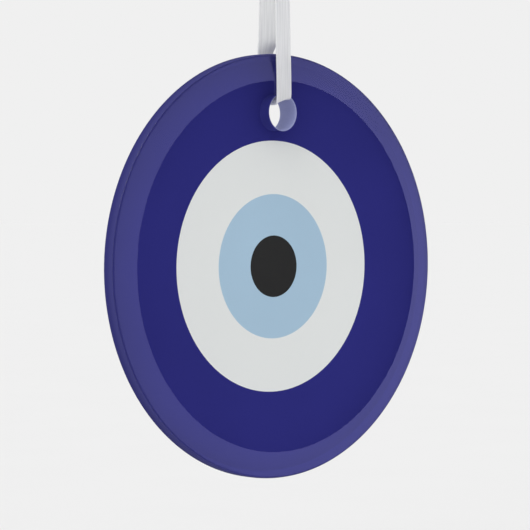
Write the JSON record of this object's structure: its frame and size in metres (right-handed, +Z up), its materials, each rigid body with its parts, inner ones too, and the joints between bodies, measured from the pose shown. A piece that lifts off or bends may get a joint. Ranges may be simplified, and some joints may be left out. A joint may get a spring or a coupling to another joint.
{
  "type": "evil eye ornament",
  "caption": "Round bevelled glass hanging ornament with an eye printed on its back in blue, white and black rings, on a knotted loop of narrow satin ribbon.",
  "frame": {"origin": "the hang point: the inside of the top of the ribbon loop, just under the knot", "axes": "+Z up along the hanging ribbon, the printed eye faces -Y, +X to the viewer's right"},
  "size_m": [0.0762, 0.0342, 0.16],
  "materials": {
    "clear_glass": "polished clear glass, with ground walls in the drilled hole",
    "blue_ink": "deep blue ink seen through glass",
    "white_ink": "white ink seen through glass",
    "light_blue_ink": "light grey-blue ink seen through glass",
    "black_ink": "black ink seen through glass",
    "white_coat": "opaque white coat on the back of the print",
    "clear_film": "thin clear satin film",
    "satin_ribbon": "silver-white single-face satin ribbon"
  },
  "bodies": {
    "hanger": {"ribbon_upper_front": "satin_ribbon", "ribbon_upper_back": "satin_ribbon", "ribbon_knot": "satin_ribbon", "ribbon_tail_front": "satin_ribbon", "ribbon_tail_back": "satin_ribbon"},
    "sling": {"ribbon_front_strand": "satin_ribbon", "ribbon_bend": "satin_ribbon", "ribbon_back_strand": "satin_ribbon"},
    "pendant": {"glass_disc": "clear_glass", "blue_field": "blue_ink", "white_ring": "white_ink", "iris_ring": "light_blue_ink", "pupil_dot": "black_ink", "white_backing": "white_coat", "back_film": "clear_film"}
  },
  "joints": [
    {"name": "ribbon_twist", "type": "hinge", "parent": "hanger", "child": "sling", "pos_m": [0, 0, -0.008], "axis": [0, 0, 1], "range_deg": [-90, 90], "stiffness_Nm_per_rad": 0.00006},
    {"name": "pendant_rock", "type": "hinge", "parent": "sling", "child": "pendant", "pos_m": [0, 0, -0.08], "axis": [0, 1, 0], "range_deg": [-25, 25]}
  ]
}
